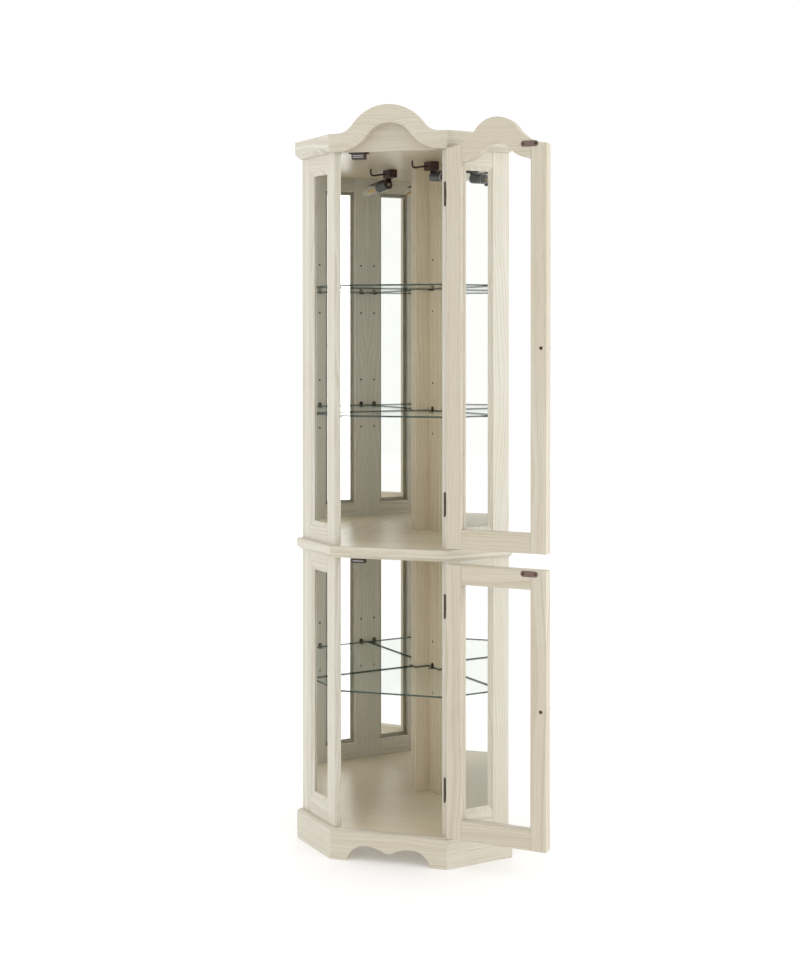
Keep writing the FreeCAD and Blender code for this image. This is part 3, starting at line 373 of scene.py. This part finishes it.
def shaped(kind, turn, place, stretch=(1, 1, 1), **sizes):
    """A primitive that is turned and moved within its own mesh."""
    bpy.ops.object.select_all(action="DESELECT")
    getattr(bpy.ops.mesh, f"primitive_{kind}_add")(**sizes)
    piece = bpy.context.object
    piece.data.transform(Matrix.Translation(place) @ turn @ Matrix.Diagonal((*stretch, 1)))
    return piece


def joined(pieces):
    """Several new pieces as one mesh."""
    bpy.ops.object.select_all(action="DESELECT")
    for piece in pieces:
        piece.select_set(True)
    bpy.context.view_layer.objects.active = pieces[0]
    bpy.ops.object.join()
    return bpy.context.object


def facing(direction):
    """The turn that sends +Z along a direction."""
    return Vector(direction).to_track_quat("Z", "Y").to_matrix().to_4x4()


# Window beads: a sloped wooden strip round each side window, on the outside of its glass and mitred at
# the corners. It starts a hair below the face of the boards and ends at the glass.
BEAD_WIDE = 0.010
BEAD_DEEP = 0.006
BEAD_SUNK = 0.001


def window_bead(side, low, high):
    """Four strips that slope from the board's face down to the glass."""
    out = TO_LEFT if side == "left" else TO_RIGHT
    along = TO_RIGHT if side == "left" else TO_LEFT
    face = span(f"{side}_front_stile", out)[1] - BEAD_SUNK
    near = span(f"{side}_back_stile", along)[1]
    far = span(f"{side}_front_stile", along)[0]
    bpy.ops.object.select_all(action="DESELECT")
    bpy.ops.mesh.primitive_plane_add(size=1)
    piece = bpy.context.object
    turn = Matrix((along, UP, out)).transposed().to_4x4()
    middle = along * (near + far) / 2 + UP * (low + high) / 2 + out * face
    size = Matrix.Diagonal((far - near, high - low, 1, 1))
    piece.data.transform(Matrix.Translation(middle) @ turn @ size)
    bpy.ops.object.mode_set(mode="EDIT")
    bpy.ops.mesh.select_all(action="SELECT")
    bpy.ops.mesh.inset(thickness=BEAD_WIDE, depth=0)
    bpy.ops.transform.translate(value=tuple(-out * (BEAD_DEEP - BEAD_SUNK)))
    bpy.ops.mesh.delete(type="FACE")
    bpy.ops.object.mode_set(mode="OBJECT")
    return piece


for side in ("left", "right"):
    mid_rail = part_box(f"{side}_mid_rail")
    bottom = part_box(f"{side}_bottom_rail")[1][2]
    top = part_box(f"{side}_top_rail")[0][2]
    beads = [window_bead(side, bottom, mid_rail[0][2]), window_bead(side, mid_rail[1][2], top)]
    worked(joined(beads), f"{side}_window_beads", bead_ash[side], "carcass")


# Spare holes: one above and one below every shelf support, on each stile's inner face and on the post, so
# that a shelf can be set higher or lower. Each is a very thin dark disc of painted shade on the wood.
HOLE_RADIUS = 0.0026
HOLE_THICK = 0.0006
HOLE_IN = 0.020
HOLE_IN_POST = 0.022
HOLES_FROM_SHELF = {
    "upper_shelf": (0.0750, -0.0530),
    "middle_shelf": (0.0715, -0.0555),
    "lower_shelf": (0.0660, -0.0620),
}
hole_painted_shade = moulded("hole_shadow", (0.020, 0.015, 0.010, 1), 0.7)
inner_p = span("left_front_stile", TO_LEFT)[0]
front_q = span("left_front_stile", TO_RIGHT)[1] - HOLE_IN
back_q = span("left_mirror", TO_RIGHT)[1] + HOLE_IN
post_p = span("post_right_board", TO_LEFT)[1]
post_q = span("post_right_board", TO_RIGHT)[0] + HOLE_IN_POST
hole_rows = (
    (inner_p, front_q, -TO_LEFT),
    (inner_p, back_q, -TO_LEFT),
    (front_q, inner_p, -TO_RIGHT),
    (back_q, inner_p, -TO_RIGHT),
    (post_p, post_q, TO_LEFT),
)
holes = []
for shelf, steps in HOLES_FROM_SHELF.items():
    for step in steps:
        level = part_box(shelf)[0][2] + step
        for p, q, way in hole_rows:
            holes.append(shaped("cylinder", facing(way), spot(p, q, level), radius=HOLE_RADIUS,
                                depth=HOLE_THICK, vertices=20))
worked(joined(holes), "spare_holes", hole_painted_shade, "carcass")


# Door hardware: each door's inner face shows the round end of its knob's screw, and two screws hold each
# catch plate. They stand a hair above the surface that they are sunk in.
KNOB_SCREW_RADIUS = 0.0038
KNOB_SCREW_THICK = 0.0012
PLATE_SCREW_RADIUS = 0.0032
PLATE_SCREW_FLAT = 0.1
PLATE_SCREW_FROM_MIDDLE = 0.0145
door_inward = -DOOR_OUT
inward_turn = facing(door_inward)


def on_face(node, board):
    """The middle of a piece, moved along the door's thickness onto a board's inner face."""
    low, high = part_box(node)
    middle = (Vector(low) + Vector(high)) / 2
    return middle + door_inward * (span(board, door_inward)[1] - middle.dot(door_inward))


for door in ("upper", "lower"):
    screws = [shaped("cylinder", inward_turn, on_face(f"{door}_knob", f"{door}_door_latch_stile"),
                     radius=KNOB_SCREW_RADIUS, depth=KNOB_SCREW_THICK, vertices=24)]
    plate = on_face(f"{door}_catch_plate", f"{door}_catch_plate")
    for way in (-1, 1):
        place = plate + DOOR_ALONG * PLATE_SCREW_FROM_MIDDLE * way
        screws.append(shaped("uv_sphere", inward_turn, place, (1, 1, PLATE_SCREW_FLAT),
                             radius=PLATE_SCREW_RADIUS, segments=20, ring_count=10))
    worked(joined(screws), f"{door}_door_screws", bronze, f"{door}_door")


# Hinge screws: three low round heads on every leaf that is fixed to the side frame, down its middle. The
# leaves are one CAD piece, so their heights are told apart by the gaps between them.
LEAF_WIDE = 0.006
LEAF_THICK = 0.0015
LEAF_GAP = 0.1
HINGE_SCREW_RADIUS = 0.0020
HINGE_SCREW_FLAT = 0.3
HINGE_SCREW_STEP = 0.017


def hinge_middles():
    """Height of the middle of each leaf."""
    heights = sorted(vertex.co.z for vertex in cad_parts["frame_hinge_leaves"].data.vertices)
    leaves = [[heights[0]]]
    for height in heights:
        if height - leaves[-1][-1] > LEAF_GAP:
            leaves.append([])
        leaves[-1].append(height)
    return [(leaf[0] + leaf[-1]) / 2 for leaf in leaves]


leaf_p = span("right_front_stile", TO_LEFT)[1] + LEAF_THICK
leaf_q = span("right_front_stile", TO_RIGHT)[1] - LEAF_WIDE / 2
heads = []
for middle in hinge_middles():
    for step in (-HINGE_SCREW_STEP, 0, HINGE_SCREW_STEP):
        heads.append(shaped("uv_sphere", facing(TO_LEFT), spot(leaf_p, leaf_q, middle + step),
                            (1, 1, HINGE_SCREW_FLAT), radius=HINGE_SCREW_RADIUS, segments=16,
                            ring_count=8))
worked(joined(heads), "hinge_screws", hinge_bronze, "carcass")


# Catches: two bright steel bars show on the front of the upper catch, and one on the lower. They stand
# barely in front of the plastic.
BAR_WIDE = 0.026
BAR_DEEP = 0.0016
BAR_TALL = 0.0018
BAR_SUNK = 0.0006
UPPER_BARS_DOWN = (0.0075, 0.0115)
LOWER_BAR_UP = 0.005
catch_low, catch_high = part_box("magnetic_catches")
bar_heights = [catch_high[2] - down for down in UPPER_BARS_DOWN] + [catch_low[2] + LOWER_BAR_UP]
bars = []
for height in bar_heights:
    place = Vector(((catch_low[0] + catch_high[0]) / 2, catch_low[1] + BAR_SUNK, height))
    bars.append(shaped("cube", Matrix.Identity(4), place, (BAR_WIDE, BAR_DEEP, BAR_TALL), size=1))
worked(joined(bars), "catch_bars", steel, "carcass")


# Lamp: a gold filament coil inside the bulb, a bright screw on the arm that holds the socket, and a bright
# rim on the socket's mouth. The socket's own two ends say where the lamp points.
COIL_TURNS = 26
COIL_STEPS = 10
COIL_RADIUS = 0.0026
COIL_WIRE = 0.0007
COIL_START = 0.008
COIL_LONG = 0.050
RIM_RADIUS = 0.0112
RIM_THICK = 0.0012
LAMP_SCREW_RADIUS = 0.0045
LAMP_SCREW_FLAT = 0.4
LAMP_SCREW_BEHIND = 0.0032
socket_points = [vertex.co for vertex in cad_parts["lamp_socket"].data.vertices]
halfway = (span("lamp_socket", TO_RIGHT)[0] + span("lamp_bulb", TO_RIGHT)[0]) / 2
mouth_points = [point for point in socket_points if point.dot(TO_RIGHT) > halfway]
rear_points = [point for point in socket_points if point.dot(TO_RIGHT) < halfway]
mouth = sum(mouth_points, Vector()) / len(mouth_points)
rear = sum(rear_points, Vector()) / len(rear_points)
lamp_way = (mouth - rear).normalized()
lamp_turn = facing(lamp_way)


def curve(name, kind, points, radius):
    """A round wire along a line of points."""
    line = bpy.data.curves.new(name, "CURVE")
    line.dimensions = "3D"
    line.bevel_depth = radius
    run = line.splines.new(kind)
    run.points.add(len(points) - 1)
    for point, place in zip(run.points, points):
        point.co = (*place, 1)
    wire = bpy.data.objects.new(name, line)
    scene.collection.objects.link(wire)
    return wire, run


coil = []
for n in range(COIL_TURNS * COIL_STEPS + 1):
    angle = 2 * math.pi * n / COIL_STEPS
    way = COIL_START + COIL_LONG * n / (COIL_TURNS * COIL_STEPS)
    swing = lamp_turn.to_3x3() @ Vector((math.cos(angle), math.sin(angle), 0)) * COIL_RADIUS
    coil.append(mouth + lamp_way * way + swing)
filament = curve("filament", "POLY", coil, COIL_WIRE)[0]
gold = metal("gold", (0.66, 0.42, 0.12, 1), (0.85, 0.62, 0.24, 1), 0.3)
worked(filament, "lamp_filament", gold, "carcass")
rim = shaped("torus", lamp_turn, mouth, major_radius=RIM_RADIUS, minor_radius=RIM_THICK,
             major_segments=40, minor_segments=10)
screw = shaped("uv_sphere", lamp_turn, rear - lamp_way * LAMP_SCREW_BEHIND, (1, 1, LAMP_SCREW_FLAT),
               radius=LAMP_SCREW_RADIUS, segments=20, ring_count=10)
worked(joined([rim, screw]), "lamp_fittings", steel, "carcass")


# Lead: down from its hole in the ceiling, round a small bend and up to the block. Its centreline is a
# smooth curve through a few points that follow the CAD lead.
LEAD_RADIUS = 0.0023
block_p, hole_side = span("lamp_lead", TO_LEFT)
lead_q = sum(span("lamp_lead", TO_RIGHT)) / 2
lead_low, lead_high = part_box("lamp_lead")
ceiling_z = lead_high[2]
hole_p = hole_side - LEAD_RADIUS
sag = ceiling_z - lead_low[2] - LEAD_RADIUS
route = [
    (hole_p, ceiling_z),
    (hole_p, ceiling_z - sag * 0.45),
    (hole_p - 0.0008, ceiling_z - sag * 0.85),
    (hole_p - 0.0060, ceiling_z - sag),
    (hole_p - 0.0140, ceiling_z - sag * 0.93),
    ((hole_p + block_p) / 2, ceiling_z - sag * 0.82),
    (block_p, ceiling_z - sag * 0.62),
]
lead, lead_run = curve("lead", "NURBS", [spot(p, lead_q, z) for p, z in route], LEAD_RADIUS)
lead.data.bevel_resolution = 6
lead.data.resolution_u = 16
lead_run.use_endpoint_u = True
lead_run.order_u = 4
worked(lead, "lamp_lead_run", lead_cover, "carcass")
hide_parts("lamp_lead")
tuple(spot(hole_p, lead_q, ceiling_z))


# Room: a pale floor that glows very faintly, so that it runs into the white air around it, and even light
# from all sides with a wide soft window on the left and a stronger one on the right.
FLOOR_SIZE = 24
FLOOR_GLOW = 0.12
DAYLIGHT = 1.03
bpy.ops.object.select_all(action="DESELECT")
bpy.ops.mesh.primitive_plane_add(size=FLOOR_SIZE, location=(0, 0, 0))
floor = bpy.context.object
floor.name = "floor"
floor_paint = Finish("floor_paint")
floor_paint.set(Base_Color=(0.93, 0.93, 0.93, 1), Roughness=0.6,
                Emission_Color=(1, 1, 1, 1), Emission_Strength=FLOOR_GLOW)
floor.data.materials.append(floor_paint.material)

world = bpy.data.worlds.new("daylight")
scene.world = world
world.use_nodes = True
world.node_tree.nodes["Background"].inputs["Color"].default_value = (1, 1, 1, 1)
world.node_tree.nodes["Background"].inputs["Strength"].default_value = DAYLIGHT
scene.view_settings.view_transform = "Standard"


def softbox(name, place, target, size, watts):
    """A rectangular lamp with soft edges that looks at a target."""
    lamp = bpy.data.lights.new(name, "AREA")
    lamp.shape = "RECTANGLE"
    lamp.size = size[0]
    lamp.size_y = size[1]
    lamp.energy = watts
    holder = bpy.data.objects.new(name, lamp)
    scene.collection.objects.link(holder)
    holder.location = place
    aim = Vector(target) - Vector(place)
    holder.rotation_euler = aim.to_track_quat("-Z", "Y").to_euler()


WINDOW_SIZE = (2.5, 3.0)
CABINET_MIDDLE = (0, -0.3, 0.9)
softbox("left window", (-4.5, -0.6, 1.4), CABINET_MIDDLE, WINDOW_SIZE, 34)
softbox("right window", (4.5, -0.6, 1.4), CABINET_MIDDLE, WINDOW_SIZE, 62)

# Camera: from the front and a little to the right, at the eye height of someone seated, almost level. The
# lens is shifted so that upright edges stay upright.
view = bpy.data.cameras.new("view")
view.sensor_width = 36
view.lens = 57.24
view.shift_x = -0.0014
view.shift_y = -0.1382
camera = bpy.data.objects.new("view", view)
scene.collection.objects.link(camera)
camera.location = (0.99511, -3.80700, 1.20706)
sight = Vector((-0.27128, 0.96246, -0.00935))
camera.rotation_euler = sight.to_track_quat("-Z", "Y").to_euler()
scene.camera = camera
